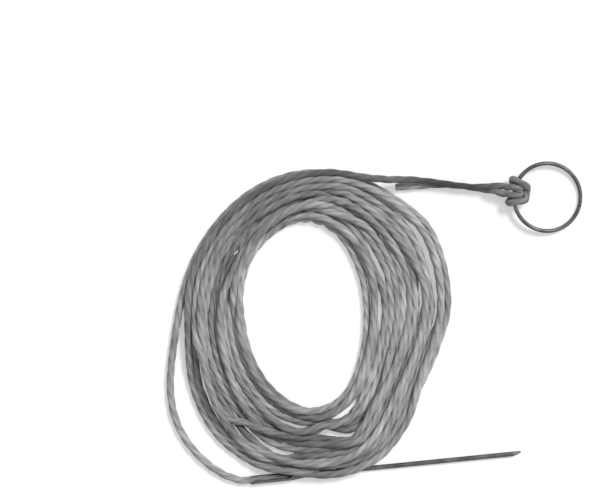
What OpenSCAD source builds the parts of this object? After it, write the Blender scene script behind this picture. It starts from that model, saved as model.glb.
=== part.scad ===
// Fish stringer: a steel needle and a steel ring on one length of soft cord.
// The cord lies coiled flat, with the needle straight along the coil's near edge
// and the ring out at the right on the cord's hitched end.
//
// Frame, in millimetres: +X runs along the needle toward its point, +Z is up, and the
// origin is on the floor at the middle of the box round the needle and the ring.

/* [Cord] */
// Diameter of the cord where it lies slack
cord_d = 3.0; // [2.4:0.1:3.2]
// Diameter of the cord where it is drawn tight near the ring
tight_d = 2.6; // [2.0:0.1:2.8]
// Free space kept between two passes of the coil
cord_gap = 0.5; // [0.45:0.05:0.8]

/* [Coil] */
// Half width of the hole, along the needle, at the cord's centre
hole_half_x = 24.6; // [22:0.1:27]
// Half length of the hole, across the needle, at the cord's centre
hole_half_y = 38.8; // [36:0.1:41]
// Half width of the outermost pass at the cord's centre
outer_half_x = 52.8; // [51:0.1:55]
// Half length of the outermost pass at the cord's centre
outer_half_y = 60.0; // [58:0.1:60.5]
// How far the coil bulges out at its near right corner
bulge = 3.0; // [1:0.1:3.5]
// How far the upper passes hang out over the needle
overhang = 4.2; // [2:0.1:4.5]
// Whole turns that wind in along the floor
turns_in = 7; // [5:2:7]
// Whole turns that wind out again on top of them
turns_out = 7; // [5:1:7]

/* [Ring] */
// Outer diameter of the ring
ring_od = 28.6; // [26:0.1:32]
// Diameter of the ring's wire
wire_d = 1.6; // [1.2:0.1:2.0]
// Width of the groove where the two ends of the wire meet
seam_w = 0.2; // [0.1:0.05:0.4]
// Depth of that groove
seam_depth = 0.15; // [0.05:0.05:0.3]
// Free space between the wire and the cord hitched round it
wire_gap = 0.35; // [0.3:0.05:0.6]

/* [Needle] */
// Length of the needle from the mouth of its socket to its point
needle_l = 108.8; // [100:0.1:115]
// Outer diameter of the needle's shaft
shaft_d = 1.9; // [1.6:0.1:2.2]
// Wall of the tube that the needle is made from
needle_wall = 0.35; // [0.25:0.05:0.45]
// Length of the slanted point
point_l = 3.4; // [2.5:0.1:5]
// Diameter of the blunt end of the point
tip_d = 0.9; // [0.6:0.1:1.1]
// Length of the socket that grips the cord
socket_l = 16.0; // [12:0.5:18]
// Length of the flare between the socket and the shaft
flare_l = 8.0; // [6:0.5:10]
// Free space all round between the cord and the socket's bore
socket_fit = 0.1; // [0.05:0.05:0.2]
// Width of the socket's open side between its two rims
slot_w = 2.4; // [1.6:0.1:2.6]
// Turn of the open side from straight up toward the coil, in degrees
slot_turn = 45; // [0:5:70]

/* [Hidden] */
$fn = 64;
overrun = 1;

// Where the pieces lie on the floor. The ring's hitch is at this angle round its middle.
needle_y = -56.6;
mouth_x = -71.7;
ring_mid = [57.5, 44.1];
hitch_at = 165;

// A cord that lies on something is flat below: its underside is this share of its
// diameter under its centre, a tenth of the diameter less than its radius.
under_share = 0.4;
cord_lie = under_share * cord_d;
tight_lie = under_share * tight_d;
pass_pitch = cord_d + cord_gap;

// Plain helpers.
function unit(v) = v / norm(v);
function mix(a, b, t) = a * (1 - t) + b * t;
function ease(t) = let (c = max(0, min(1, t))) c * c * (3 - 2 * c);
function cat(lists) = [for (list = lists) each list];

// Direction of a path at one of its points.
function heading(path, i) = let (last = len(path) - 1)
    i == 0 ? unit(path[1] - path[0]) :
    i == last ? unit(path[last] - path[last - 1]) :
    unit(unit(path[i + 1] - path[i]) + unit(path[i] - path[i - 1]));

// Outline of a cord of unit diameter, flat below, as points (side, up).
function cord_outline(sides) = let (low = asin(2 * under_share), span = 180 + 2 * low)
    [for (j = [0 : sides - 1]) let (a = -low + span * j / (sides - 1)) [cos(a), sin(a)] / 2];
function round_outline(sides) = [for (j = [0 : sides - 1]) let (a = 360 * (j + 0.5) / sides) [cos(a), sin(a)] / 2];

// The side direction of each ring of a tube: level for a cord that lies down, or carried
// on from ring to ring for one that wraps round the wire.
function level_sides(path) = [for (i = [0 : len(path) - 1]) unit(cross(heading(path, i), [0, 0, 1]))];
function carried_sides(path, first) =
    [for (i = 0, s = first; i < len(path); i = i + 1,
        s = i < len(path) ? let (h = heading(path, i)) unit(s - h * (s * h)) : s) s];

// One unbroken tube along a path: an outline at each point, sized by its diameter there.
module tube(path, diameters, sides_at, outline) {
    n = len(outline);
    last = len(path) - 1;
    points = [for (i = [0 : last]) let (s = sides_at[i], u = cross(s, heading(path, i)))
        for (q = outline) path[i] + diameters[i] * (q[0] * s + q[1] * u)];
    walls = [for (i = [0 : last - 1], j = [0 : n - 1]) let (a = i * n + j, b = i * n + (j + 1) % n)
        each [[a, b, b + n], [a, b + n, a + n]]];
    ends = [for (j = [1 : n - 2]) each [[0, j + 1, j], [last * n, last * n + j, last * n + j + 1]]];
    polyhedron(points = points, faces = concat(walls, ends), convexity = 10);
}
function all_d(path, d) = [for (p = path) d];

// The coil. Its passes run clockwise between two egg-shaped curves: the hole's edge and
// the outermost pass. Each is an ellipse that its egg share makes fuller at one end.
hole_mid = [-42.8, 6.9];
hole_egg_share = 0.11;
outer_mid = [-40.8, 3.5];
outer_egg_share = -0.03;
outer_turn = -25;
start_angle = 175;
reverse_angle = 0;
leave_angle = 65;
rings_per_turn = 24;
coil_sides = 6;

// A swelling of height 1 round one angle, which falls softly to nothing on each side.
function bump(a, middle, spread) = let (off = a - middle - 360 * round((a - middle) / 360))
    abs(off) < spread ? pow(cos(90 * off / spread), 2) : 0;
bulge_angle = 298;
bulge_spread = 32;

function egg(mid, half, egg_share, turn, a) = let (x = half[0] * cos(a) * (1 + egg_share * sin(a)), y = half[1] * sin(a))
    mid + [x * cos(turn) - y * sin(turn), x * sin(turn) + y * cos(turn)];
function hole_edge(a) = egg(hole_mid, [hole_half_x, hole_half_y], hole_egg_share, 0, a);
function outer_edge(a) = egg(outer_mid, [outer_half_x, outer_half_y], outer_egg_share, outer_turn, a - outer_turn)
    + bulge * bump(a, bulge_angle, bulge_spread) * [cos(bulge_angle), sin(bulge_angle)];

// How far it winds in to the reversal and out again, in degrees.
wind_in = turns_in * 360 + start_angle - reverse_angle;
wind_out = turns_out * 360 + 360 + reverse_angle - leave_angle;
wind_all = wind_in + wind_out;
function outward(w) = w < wind_in ? 1 - w / wind_in : (w - wind_in) / wind_out;

// Width across the band of passes that each turn has to itself, at an angle.
flow_step = 1;
function flow(a) = unit(mix(hole_edge(a + flow_step), outer_edge(a + flow_step), 0.5)
    - mix(hole_edge(a - flow_step), outer_edge(a - flow_step), 0.5));
function room(a) = let (across = outer_edge(a) - hole_edge(a), f = flow(a))
    abs(across[0] * f[1] - across[1] * f[0]) * 360 / max(wind_in, wind_out);

// Where the band is too narrow for passes side by side, each second pass rides up over
// its neighbours, by just enough to keep the full pitch from them.
function ride(a) = sqrt(max(0, pow(pass_pitch, 2) - pow(room(a), 2)));

// Which passes ride: the ones between an odd and the next even crossing of the angle
// where the spiral reverses, with a soft change over at the crossing.
swap_angle = 25;
first_part = start_angle - reverse_angle;
function rides(w) = let (c = (w - first_part) / 360, k = floor(c), f = c - k, s = swap_angle / 360,
        m = f < s ? 0.5 + 0.5 * f / s : f > 1 - s ? 0.5 + 0.5 * (1 - f) / s : 1)
    (k + 100) % 2 == 0 ? m : 1 - m;

// Height of the cord's centre: the floor layer, or the layer above it after the climb,
// which takes the half turn round the reversal.
function climb(w) = ease((w - wind_in) / 180 + 0.5);
function coil_z(w) = let (a = start_angle - w)
    cord_lie + rides(w) * ride(a) + climb(w) * (pass_pitch + ride(a));

// The upper passes slump out over the needle.
sag_angle = 276;
sag_spread = 38;
function sag(a) = overhang * bump(a, sag_angle, sag_spread);
function coil_point(w) = let (a = start_angle - w, edge = outer_edge(a) - [0, sag(a) * climb(w)],
        p = mix(hole_edge(a), edge, outward(w)))
    [p[0], p[1], coil_z(w)];
coil_run = [for (w = [0 : 360 / rings_per_turn : wind_all]) coil_point(w)];

// Each end runs straight on for a little over one diameter, square to its end face.
end_run = 1.2 * cord_d;
coil_start = coil_run[0] - end_run * unit(coil_run[1] - coil_run[0]);
coil_last = coil_run[len(coil_run) - 1];
coil_end = coil_last + end_run * unit(coil_last - coil_run[len(coil_run) - 2]);
coil_path = concat([coil_start], coil_run, [coil_end]);

// The least gap of the coil to itself, measured from its points and the points between.
fine_steps = 4;
coil_fine = [for (i = [0 : len(coil_run) - 2], k = [0 : fine_steps - 1]) mix(coil_run[i], coil_run[i + 1], k / fine_steps)];
half_turn_points = rings_per_turn * fine_steps / 2;
least_gap = min([for (i = [0 : len(coil_fine) - 1 - half_turn_points])
    min([for (j = [i + half_turn_points : len(coil_fine) - 1]) norm(coil_fine[i] - coil_fine[j])])]) - cord_d;
function run_length(path) = len(path) < 2 ? 0 : [for (i = 1, t = norm(path[1] - path[0]); i < len(path); i = i + 1,
    t = i < len(path) ? t + norm(path[i] - path[i - 1]) : t) t][len(path) - 2];
echo(coil_least_gap = least_gap, coil_turns = wind_all / 360, coil_length = run_length(coil_path));

module cord_coil() {
    color("dimgray") tube(coil_path, all_d(coil_path, cord_d), level_sides(coil_path), cord_outline(coil_sides));
}

// The ring, hitched at its high side and resting on the floor at its far side.
ring_r = (ring_od - wire_d) / 2;
wrap_r = wire_d / 2 + wire_gap + tight_d / 2;
floor_gap = 0.1;
hitch_z = wrap_r + tight_d / 2 + floor_gap;
ring_tilt = asin((hitch_z - wire_d / 2) / (2 * ring_r));
ring_z = wire_d / 2 + ring_r * sin(ring_tilt);
seam_angle = 180;
ring_facets = 120;
wire_facets = 32;

module at_ring() {
    translate([ring_mid[0], ring_mid[1], ring_z]) rotate([0, 0, hitch_at]) rotate([0, -ring_tilt, 0]) children();
}

module ring() {
    color("silver") at_ring() difference() {
        rotate_extrude($fn = ring_facets) translate([ring_r, 0]) circle(d = wire_d, $fn = wire_facets);
        rotate([0, 0, seam_angle]) translate([ring_r, 0, 0]) rotate([90, 0, 0]) difference() {
            cylinder(d = wire_d + 2 * overrun, h = seam_w, center = true);
            cylinder(d = wire_d - 2 * seam_depth, h = seam_w + 2 * overrun, center = true, $fn = wire_facets);
        }
    }
}

// The hitch: two passes of the cord round the wire on each side of its middle, joined by
// one strand that crosses them inside the ring. A place on it is given by the angle round
// the wire (0 faces the ring's middle, 90 is up), the distance from the wire's centre and
// the distance along the wire.
hitch_gap = 0.1;
wrap_pitch = (tight_d + hitch_gap) * ring_r / (ring_r - wrap_r);
inner_u = wrap_pitch / 2;
outer_u = wrap_pitch * 3 / 2;
cross_r = wrap_r + tight_d + hitch_gap;
hitch_sides = 8;
function hitch_place(q) = let (turn = q[2] / ring_r * 180 / PI, r = ring_r - q[1] * cos(q[0]))
    [r * cos(turn), r * sin(turn), q[1] * sin(q[0])];
// Angle, share of the way from the wraps out to the crossing strand, share of the way
// from the inner pass to the outer one.
wrap_shares = [
    [180, 0, 0], [150, 0, 0], [120, 0, 0], [90, 0, 0], [60, 0, 0], [30, 0, 0], [0, 0, 0], [-30, 0, 0], [-60, 0, 0.03],
    [-90, 0, 0.25], [-120, 0, 0.55], [-150, 0, 0.85], [-180, 0, 0.98], [-210, 0, 1], [-240, 0, 1], [-270, 0, 1],
    [-293, 0.08, 1], [-312, 0.36, 1], [-328, 0.66, 0.97]];
// The same for the crossing strand, up to its middle, as shares of the outer pass's place.
cross_shares = [[-342, 0.93, 0.87], [-351, 1, 0.66], [-355, 1, 0.34]];
cross_angle = -356;
half_hitch = cat([
    [for (q = wrap_shares) [q[0], mix(wrap_r, cross_r, q[1]), mix(inner_u, outer_u, q[2])]],
    [for (q = cross_shares) [q[0], mix(wrap_r, cross_r, q[1]), outer_u * q[2]]]]);
hitch_path = concat(
    [for (q = half_hitch) hitch_place(q)],
    [hitch_place([cross_angle, cross_r, 0])],
    [for (i = [len(half_hitch) - 1 : -1 : 0]) let (q = half_hitch[i]) hitch_place([q[0], q[1], -q[2]])]);

module cord_hitch() {
    color("dimgray") at_ring()
        tube(hitch_path, all_d(hitch_path, tight_d), carried_sides(hitch_path, [0, 1, 0]), round_outline(hitch_sides));
}

// The needle. Its tube opens through an offset flare into a socket, and both lie on the
// floor with their undersides in one line. The socket is a trough: its open side runs out
// over the flare, and its mouth is cut slanting. The cord drawn tight lies in it.
bore_d = tight_d + 2 * socket_fit;
socket_d = bore_d + 2 * needle_wall;
socket_z = socket_d / 2;
shaft_z = shaft_d / 2;
shaft_bore_d = shaft_d - 2 * needle_wall;
shaft_from = socket_l + flare_l;
shaft_l = needle_l - shaft_from - point_l;
rim_h = sqrt(max(0, bore_d * bore_d - slot_w * slot_w)) / 2;
skin = 0.01;
flare_facets = 32;
tip_facets = 16;

module disc_x(d, x, z, t) { translate([x, 0, z]) rotate([0, 90, 0]) cylinder(d = d, h = t, $fn = flare_facets); }
module rod_x(d, x, z, l) { translate([x, 0, z]) rotate([0, 90, 0]) cylinder(d = d, h = l); }

// What is cut away above the rims, seen from the side with the socket's axis at height 0:
// level along the socket, then rising until it leaves the flare.
open_side = [[-overrun, rim_h], [socket_l, rim_h], [shaft_from, socket_d / 2 + overrun],
    [-overrun, socket_d / 2 + overrun]];

module needle() {
    color("silver") translate([mouth_x, needle_y, 0]) difference() {
        union() {
            rod_x(socket_d, 0, socket_z, socket_l);
            hull() {
                disc_x(socket_d, socket_l - skin, socket_z, skin);
                disc_x(shaft_d, shaft_from, shaft_z, skin);
            }
            rod_x(shaft_d, shaft_from, shaft_z, shaft_l);
            hull() {
                disc_x(shaft_d, needle_l - point_l - skin, shaft_z, skin);
                translate([needle_l - tip_d / 2, (shaft_d - tip_d) / 2, shaft_z]) sphere(d = tip_d, $fn = tip_facets);
            }
        }
        rod_x(bore_d, -overrun, socket_z, socket_l + overrun);
        hull() {
            disc_x(bore_d, socket_l - skin, socket_z, skin);
            disc_x(shaft_bore_d, shaft_from, shaft_z, skin);
        }
        rod_x(shaft_bore_d, shaft_from - skin, shaft_z, shaft_l);
        translate([0, 0, socket_z]) rotate([-slot_turn, 0, 0]) rotate([90, 0, 0])
            linear_extrude(height = 2 * socket_d, center = true) polygon(open_side);
        translate([0, 0, socket_d]) rotate([0, 45, 0]) cube([socket_d, 2 * socket_d, socket_d], center = true);
    }
}

// The cord's free stretches, as places of its centre on their way over the floor.
grip_short = 1;
lead_sides = 8;
needle_lead_route = [
    [-76.5, -56.3, 1.5], [-81.5, -53.6, 1.3], [-87, -49.2, 1.2], [-92.3, -43.8, 1.2], [-96.6, -37.5, 1.2],
    [-99.5, -30.5, 1.2], [-100.6, -23, 1.2], [-100.1, -15, 1.2], [-99, -7.5, 1.2]];
needle_lead_path = concat(
    [[mouth_x + socket_l - grip_short, needle_y, socket_z], [mouth_x, needle_y, socket_z]], needle_lead_route,
    [coil_start - end_run * heading(coil_path, 0), coil_start]);
needle_lead_tight_shares = [1, 1, 0.5, 0, 0, 0, 0, 0, 0, 0, 0, 0, 0];

// The two legs of the loop end just short of the hitch, one on each side of its middle,
// after a short straight run toward it.
leg_gap = 0.4;
leg_u = 2.2;
leg_run = 2.8;
function ring_place(p) = let (r = p[0] * cos(ring_tilt) - p[2] * sin(ring_tilt))
    [ring_mid[0] + r * cos(hitch_at) - p[1] * sin(hitch_at), ring_mid[1] + r * sin(hitch_at) + p[1] * cos(hitch_at),
     ring_z + p[0] * sin(ring_tilt) + p[2] * cos(ring_tilt)];
function leg(u, back) = ring_place([ring_r + wrap_r + tight_d / 2 + leg_gap + back, u, 0]);

// The lead comes down off the coil and runs over the tail to the upper leg.
ring_lead_route = [
    [-6.5, 57.3, 7.4], [0, 56.7, 5.6], [6, 56, 4.5], [12, 55.2, 4], [18, 54.1, 3.9], [25, 52.6, 3.9], [31.5, 51.5, 3.9]];
ring_lead_path = concat([coil_end, coil_end + end_run * heading(coil_path, len(coil_path) - 1)],
    ring_lead_route, [leg(-leg_u, leg_run), leg(-leg_u, 0)]);
ring_lead_tight_shares = [0, 0, 0, 0, 0, 0.4, 0.8, 1, 1, 1, 1];

// The tail runs back from the lower leg under the lead, then comes out beside it and ends.
tail_route = [
    [33.5, 49.1, 1.9], [30.5, 50.6, 1.2], [24.5, 52.5, 1.1], [18, 53.8, 1.1], [12, 54, 1.1], [7.5, 53.6, 1.2], [3, 53.5, 1.2],
    [-2, 53.7, 1.2]];
tail_path = concat([leg(leg_u, 0), leg(leg_u, leg_run)], tail_route);
tail_tight_shares = [1, 1, 1, 1, 1, 0.8, 0.4, 0, 0, 0];

function part_tight(shares) = [for (t = shares) mix(cord_d, tight_d, t)];

module free_cord(path, diameters) {
    color("dimgray") tube(path, diameters, level_sides(path), cord_outline(lead_sides));
}
module cord_needle_lead() { free_cord(needle_lead_path, part_tight(needle_lead_tight_shares)); }
module cord_ring_lead() { free_cord(ring_lead_path, part_tight(ring_lead_tight_shares)); }
module cord_tail() { free_cord(tail_path, part_tight(tail_tight_shares)); }

needle();
ring();
cord_hitch();
cord_coil();
cord_needle_lead();
cord_ring_lead();
cord_tail();
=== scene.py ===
"""Fish stringer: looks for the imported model.

The cord is laid by formula, settled under its own weight and drawn as three strands
twisted together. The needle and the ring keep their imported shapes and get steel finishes.
"""

import math
from collections import namedtuple

import bpy
import numpy as np
from bpy.props import FloatProperty, FloatVectorProperty, IntProperty, PointerProperty
from bpy.types import Operator, Panel, PropertyGroup
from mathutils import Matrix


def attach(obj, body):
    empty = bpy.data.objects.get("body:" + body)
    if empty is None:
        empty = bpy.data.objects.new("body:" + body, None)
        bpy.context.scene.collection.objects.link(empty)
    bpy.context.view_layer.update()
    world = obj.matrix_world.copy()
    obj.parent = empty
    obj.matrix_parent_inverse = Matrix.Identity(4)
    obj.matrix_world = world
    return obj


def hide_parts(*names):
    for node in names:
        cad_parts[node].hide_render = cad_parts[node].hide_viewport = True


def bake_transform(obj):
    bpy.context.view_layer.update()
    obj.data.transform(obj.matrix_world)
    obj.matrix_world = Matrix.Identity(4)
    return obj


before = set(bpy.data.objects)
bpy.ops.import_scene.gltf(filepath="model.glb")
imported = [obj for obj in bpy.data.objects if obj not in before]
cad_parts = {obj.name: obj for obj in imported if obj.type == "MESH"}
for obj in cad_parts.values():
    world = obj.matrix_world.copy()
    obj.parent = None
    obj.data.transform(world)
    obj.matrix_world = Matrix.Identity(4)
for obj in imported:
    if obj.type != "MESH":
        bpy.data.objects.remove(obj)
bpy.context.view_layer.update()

bl_info = {
    "name": "Fish Stringer",
    "version": (1, 0, 0),
    "blender": (4, 5, 0),
    "location": "3D View > Sidebar > Stringer",
    "description": "Twisted cord, steel finishes, floor and camera for a fish stringer",
    "category": "Object",
}

# Sizes and places below are in millimetres and angles in degrees, unless a comment says
# otherwise.
MM = 0.001

# One run of cord: its places, and at each its direction, side, up, thickness, shade and
# distance along, in metres.
Cord = namedtuple("Cord", "path heading side up thick shade s")

# The cord's pieces from the needle to the cut end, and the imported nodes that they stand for.
CORD_PIECES = [
    ("needle_cord", "cord_needle_lead"),
    ("coil_inward", "cord_coil"),
    ("coil_middle", "cord_coil"),
    ("coil_outward", "cord_coil"),
    ("ring_cord", "cord_ring_lead"),
    ("hitch_cord", "cord_hitch"),
    ("cut_tail", "cord_tail"),
]
# How far the needle's piece goes on past its route, and how long the ring's piece is.
NEEDLE_CORD_EXTRA = 4.0
RING_CORD_L = 88.0

# The two egg-shaped curves that the coil's passes run between: middle, half sizes, share by
# which one end is fuller, and turn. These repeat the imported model's own values.
HOLE_EDGE = ((-42.8, 6.9), (24.6, 38.8), 0.11, 0.0)
OUTER_EDGE = ((-40.8, 3.5), (52.8, 60.0), -0.03, -25.0)
COIL_MID = (-42.0, 4.5)
# How far the two curves move out at every 30 degrees from 0.
HOLE_SHIFT = (-0.5, 0.0, 0.6, 1.6, 0.6, 0.3, 1.8, 1.8, 0.0, 0.0, 1.0, 0.0)
OUTER_SHIFT = (2.4, 1.6, 0.0, 0.0, 0.0, 0.0, 0.0, 0.0, 0.0, 0.0, -0.8, -2.0)
# Swellings of the outer curve: size, angle and spread. They are the bulges at the near right
# and far right, the upper passes' sag out over the needle, and the dent on the left, where
# the passes draw in from the needle's lead.
BULGE = (3.0, 298.0, 32.0)
FAR_BULGE = (2.0, 22.0, 28.0)
SAG = (5.0, 279.0, 38.0)
DENT = (-5.5, 184.0, 45.0)
# Share of the dent that the lower passes have too, the winding after which they get it, and
# over how much more winding it grows.
DENT_BELOW_SHARE = 0.4
DENT_START = 60.0
DENT_GROWTH = 60.0
# The winding: where it starts, how far it goes inward on the floor and back outward on top,
# how long the climb between the two takes, and over how long neighbouring passes change
# which of them rides higher.
START_ANGLE = 175.0
WIND_IN = 7 * 360 + 175.0
WIND_OUT = 7 * 360 + 295.0
CLIMB_ANGLE = 180.0
SWAP_ANGLE = 25.0
# Passes that lie beside each other across one layer.
PASSES = 7.5
# Waves in each radian of winding that make the passes stray, and their random seed.
STRAY_WAVES = (0.37, 0.61, 0.83, 1.13, 1.41, 1.79, 2.23)
STRAY_SEED = 5

# Soft zones of painted shade, where the coil is coloured darker as if it lay in shade: angle
# and its spread, share of the way from the hole's edge to the outer edge and its spread, and shade.
PAINTED_SHADE_ZONES = [
    (158, 85, 0.52, 0.14, 0.80),
    (236, 44, 0.02, 0.15, 0.60),
    (98, 42, 0.80, 0.60, 0.55),
    (268, 30, 0.48, 0.42, 0.36),
    (274, 28, 1.09, 0.08, 0.42),
]
# Random changes of shade along the cord: distance between them and size. Then their seed,
# and the darkest and palest shade that they and the zones may make.
SHADE_SPOTS = ((30.0, 0.16), (10.0, 0.11))
SHADE_SEED = 11
SHADE_LIMITS = (0.4, 1.4)
# Shades at the cord's two ends, each after its distance: from the end in the needle's socket,
# up to the hitch, and past the hitch, there as shares of the hitch's own shade.
# Painted shade: the first table makes the cord darkest inside the needle's socket, as the trough's shade;
# along the lead it is darker too.
SOCKET_SHADOW_AND_LEAD_SHADES = [(14, 0.5), (19, 0.78), (85, 0.78), (110, 1)]
HITCH_SHADES = [(-240, 1), (-160, 0.68), (-60, 0.46), (-38, 0.44), (-29, 0.18), (-12, 0.2), (0, 0.5)]
TAIL_SHADE_SHARES = [(0, 1), (11, 0.6), (24, 0.6), (32, 1.7)]

# Ring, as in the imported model: middle, radius of the wire's centre line, half the wire's
# thickness, and how high the wire's centre lies on the cord at the hitch, which tilts the
# ring. Its far side lies on the floor. RING_TILT and HITCH_AT are in radians.
RING_MID = (57.5, 44.1)
RING_R = 13.5
WIRE_R = 0.8
RING_RISE = 3.85
RING_TILT = math.asin((RING_RISE - WIRE_R) / (2 * RING_R))
RING_Z = WIRE_R + RING_R * math.sin(RING_TILT)

# Hitch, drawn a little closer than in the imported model: its place on the ring, the cord's
# distance from the wire's centre in the wraps, its distance and angle round the wire where
# it crosses, and the inner and outer passes' places along the wire.
HITCH_AT = math.radians(165)
WRAP_R = 2.45
CROSS_R = 4.85
CROSS_ANGLE = -356.0
INNER_U = 1.45
OUTER_U = 4.2
# Half of the hitch: angle round the wire, share of the way out to the crossing strand, and
# share of the way from the inner pass to the outer one.
HITCH_HALF = [
    (140, 0, 0), (120, 0, 0), (100, 0, 0), (80, 0, 0), (60, 0, 0), (40, 0, 0), (20, 0, 0),
    (0, 0, 0), (-30, 0, 0), (-60, 0, 0.03), (-90, 0, 0.25), (-120, 0, 0.55), (-150, 0, 0.85),
    (-180, 0, 0.98), (-210, 0, 1), (-240, 0, 1), (-270, 0, 1), (-293, 0.08, 1), (-312, 0.36, 1),
    (-328, 0.66, 0.97), (-342, 0.93, 0.83), (-351, 1, 0.5), (-355, 1, 0.0),
]
# The loop's two legs: their place along the wire, how far beyond the wraps they start, how
# much they close on each other for each millimetre from there, and where their straight
# parts begin and end.
LEG_U = 1.7
LEG_START = 1.7
LEG_CLOSING = 0.2
LEG_NEAR = 1.4
LEG_FAR = 4.4
# A leg's way into the first wrap: how far it draws inward, how far back it still is and how
# far it rises.
LEG_ENTRY = ((0.0, LEG_NEAR, 0.0), (0.0, 0.7, 0.0), (0.1, 0.0, 0.1), (0.4, -0.9, 0.55))
# Distances between the hitch's places before and after they are made a smooth curve.
HITCH_SPACING = 0.8
HITCH_STEP = 0.35

# Needle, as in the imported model: the place of its open end, its length, and its radius at
# four places along it. The gap is kept between it and the cord that lies over it.
NEEDLE_Y = -56.6
MOUTH_X = -71.7
NEEDLE_L = 108.8
NEEDLE_PROFILE = ((0.0, 16.0, 24.0, NEEDLE_L), (1.75, 1.75, 0.95, 0.95))
NEEDLE_GAP = 0.1

# Places of the cord's centre on its way from the needle's socket to the coil, from the coil
# to the loop's upper leg, and from the lower leg back to the cut end.
NEEDLE_ROUTE = np.array([
    (-56.7, -56.6, 1.75), (-64.2, -56.6, 1.75), (-71.7, -56.6, 1.75), (-76.5, -56.1, 1.6),
    (-81.5, -53.4, 1.5), (-87, -49, 1.5), (-92.3, -43.6, 1.5), (-96.5, -37.3, 1.5),
    (-99.3, -30.3, 1.5), (-100.4, -23, 1.5), (-99.8, -15, 1.5), (-98.4, -7.5, 1.5),
])
RING_ROUTE = np.array([
    (-6.5, 57.4, 7.4), (0, 56.8, 5.6), (6, 56.1, 4.7), (12, 55, 4.3), (18, 53.5, 4),
    (25, 51.8, 3.9), (31.5, 50.8, 3.9),
])
TAIL_ROUTE = np.array([
    (33.5, 49.3, 1.9), (30.5, 50.1, 1.4), (24.5, 51.7, 1.35), (18, 52.9, 1.35),
    (12, 53.6, 1.4), (7.5, 53.8, 1.5), (3, 53.9, 1.6), (-2, 54.1, 1.6),
])

# Places where the passes part and the floor or a lower pass shows between them: a line on
# the floor, half the width of the opening, and the height above which passes give way.
PARTINGS = [
    ([(4.2, 39.5), (6.8, 29.6), (8.6, 19.8), (9.2, 9.6), (8.8, -2.4)], 1.1, 0.0),
    ([(3.3, 18.3), (3.3, 10.2), (2.9, 2.2)], 0.8, 0.0),
    ([(-17.5, 36), (-14.3, 28.1), (-10.7, 19.7), (-9.4, 12.7)], 0.8, 0.0),
    ([(-13.0, 16.3), (-13.1, 7.8), (-14.3, -4.5)], 0.9, 0.0),
    ([(-59.0, -33.4), (-51.7, -36.9), (-44.2, -38.5)], 0.8, 0.0),
    ([(-39.3, -37.8), (-32.5, -34.4), (-25.7, -29.9)], 0.7, 0.0),
    ([(-43.3, -37.4), (-34.1, -41.9), (-24.7, -44.5)], 0.7, 0.0),
    ([(-87.5, -0.8), (-86.2, -16.6), (-82.9, -27.4), (-77.3, -40)], 0.8, 0.0),
    ([(-78.8, -22.2), (-74.0, -31.1), (-65.5, -42.8), (-55.1, -51.1)], 0.25, 0.0),
    ([(-20.6, 53.2), (-32.6, 53.6), (-44.9, 51.6), (-56.7, 45.6), (-68.7, 34.7),
      (-77.7, 20.3), (-81.7, 4.6), (-82.2, -12.2), (-79.2, -26.2), (-73.7, -36.4),
      (-64.5, -44.1), (-50.7, -47.5), (-34.7, -48.3)], 1.7, 3.2),
]

# Settling: distance between the cord's points, height of its centre on the floor, rounds,
# and the points at either end that stay where they are laid.
SETTLE_STEP = 2.0
FLOOR_Z = 1.5
SETTLE_ROUNDS = 420
HELD_AT_NEEDLE = 12
HELD_AT_HITCH = 24
# Close pairs of points are looked up again after so many rounds: nearer than so many
# diameters, but farther apart along the cord than so many. A parting moves the cord that
# lies within so many diameters of its edges.
PAIR_ROUNDS = 10
PAIR_DIAMETERS = 1.7
ALONG_DIAMETERS = 2.2
PARTING_DIAMETERS = 1.6
# What one round does: lowering, share of the way home, shares by which a bend is evened over
# several points and over its neighbours, how far a push overshoots, and the share of a
# parting that is opened.
LOWERING = 0.05
HOMING_SHARE = 0.02
BEND_POINTS = 3
BEND_SHARE = 0.18
NEIGHBOUR_SHARE = 0.1
PUSH_SHARE = 1.5
PARTING_SHARE = 0.6

# Twisted outline: points round it, number of strands, and a strand's radius as a share of
# the cord's.
CORD_SIDES = 24
STRANDS = 3
STRAND_SHARE = 0.71
# Waves that make the turn uneven, each a size in radians and its radians for each metre. Then
# the size of the thickness's pulse, the two waves whose product it is, and a shift of one.
TURN_WAVES = ((0.35, 31.0), (0.2, 83.0))
PULSE_SHARE = 0.025
PULSE_WAVES = (411.0, 167.0)
PULSE_SHIFT = 1.0
# Where the cord goes on in the next piece, the last row has this share of the outline. A
# blunt end closes with three rows, each with its share of the outline and its reach as a
# share of the thickness.
JOINED_SHARE = 0.97
BLUNT_SHARES = ((0.93, 0.12), (0.8, 0.2), (0.55, 0.25))

# Soft steps of the cord's thickness, each a start and a length along the cord; a negative
# length steps down. It is drawn tight before the hitch and slack again past it, narrowest in
# the neck before it and once more past it, and gripped tight at the needle's socket.
TIGHT_BEFORE = (-38.0, 10.0)
NECK_ENDS = (-12.0, 8.0)
NECK_PAST = (3.0, 8.0)
SLACK_PAST = (22.0, 10.0)
SOCKET_GRIP = (19.0, -5.0)

# Cord's fine relief: how high the yarns and the fibres stand, for the bump.
YARN_RELIEF = 0.45
FIBRE_RELIEF = 0.8
# Steel: how much rougher its drawn lines and its worn spots are, and the scale of the lines
# along X, Y and Z.
LINES_ROUGHNESS = 0.16
WEAR_ROUGHNESS = 0.2
NEEDLE_GRAIN = (60.0, 2500.0, 2500.0)
RING_GRAIN = (900.0, 900.0, 900.0)

# The photograph's frame seen straight down: width in metres, middle, turn and the camera's
# height in metres.
VIEW_WIDTH = 0.236
VIEW_MID = (-44.6, 34.5)
VIEW_TURN = -5.69
VIEW_HEIGHT = 1.0
SENSOR_WIDTH = 36.0
# Half the floor's width in metres.
FLOOR_HALF = 3.0
# Keeps a length that may be nothing from being divided by.
TINY = 1e-9


def along(path):
    """Distance along a path at each of its points."""
    return np.concatenate([[0.0], np.cumsum(np.linalg.norm(np.diff(path, axis=0), axis=1))])


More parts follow.
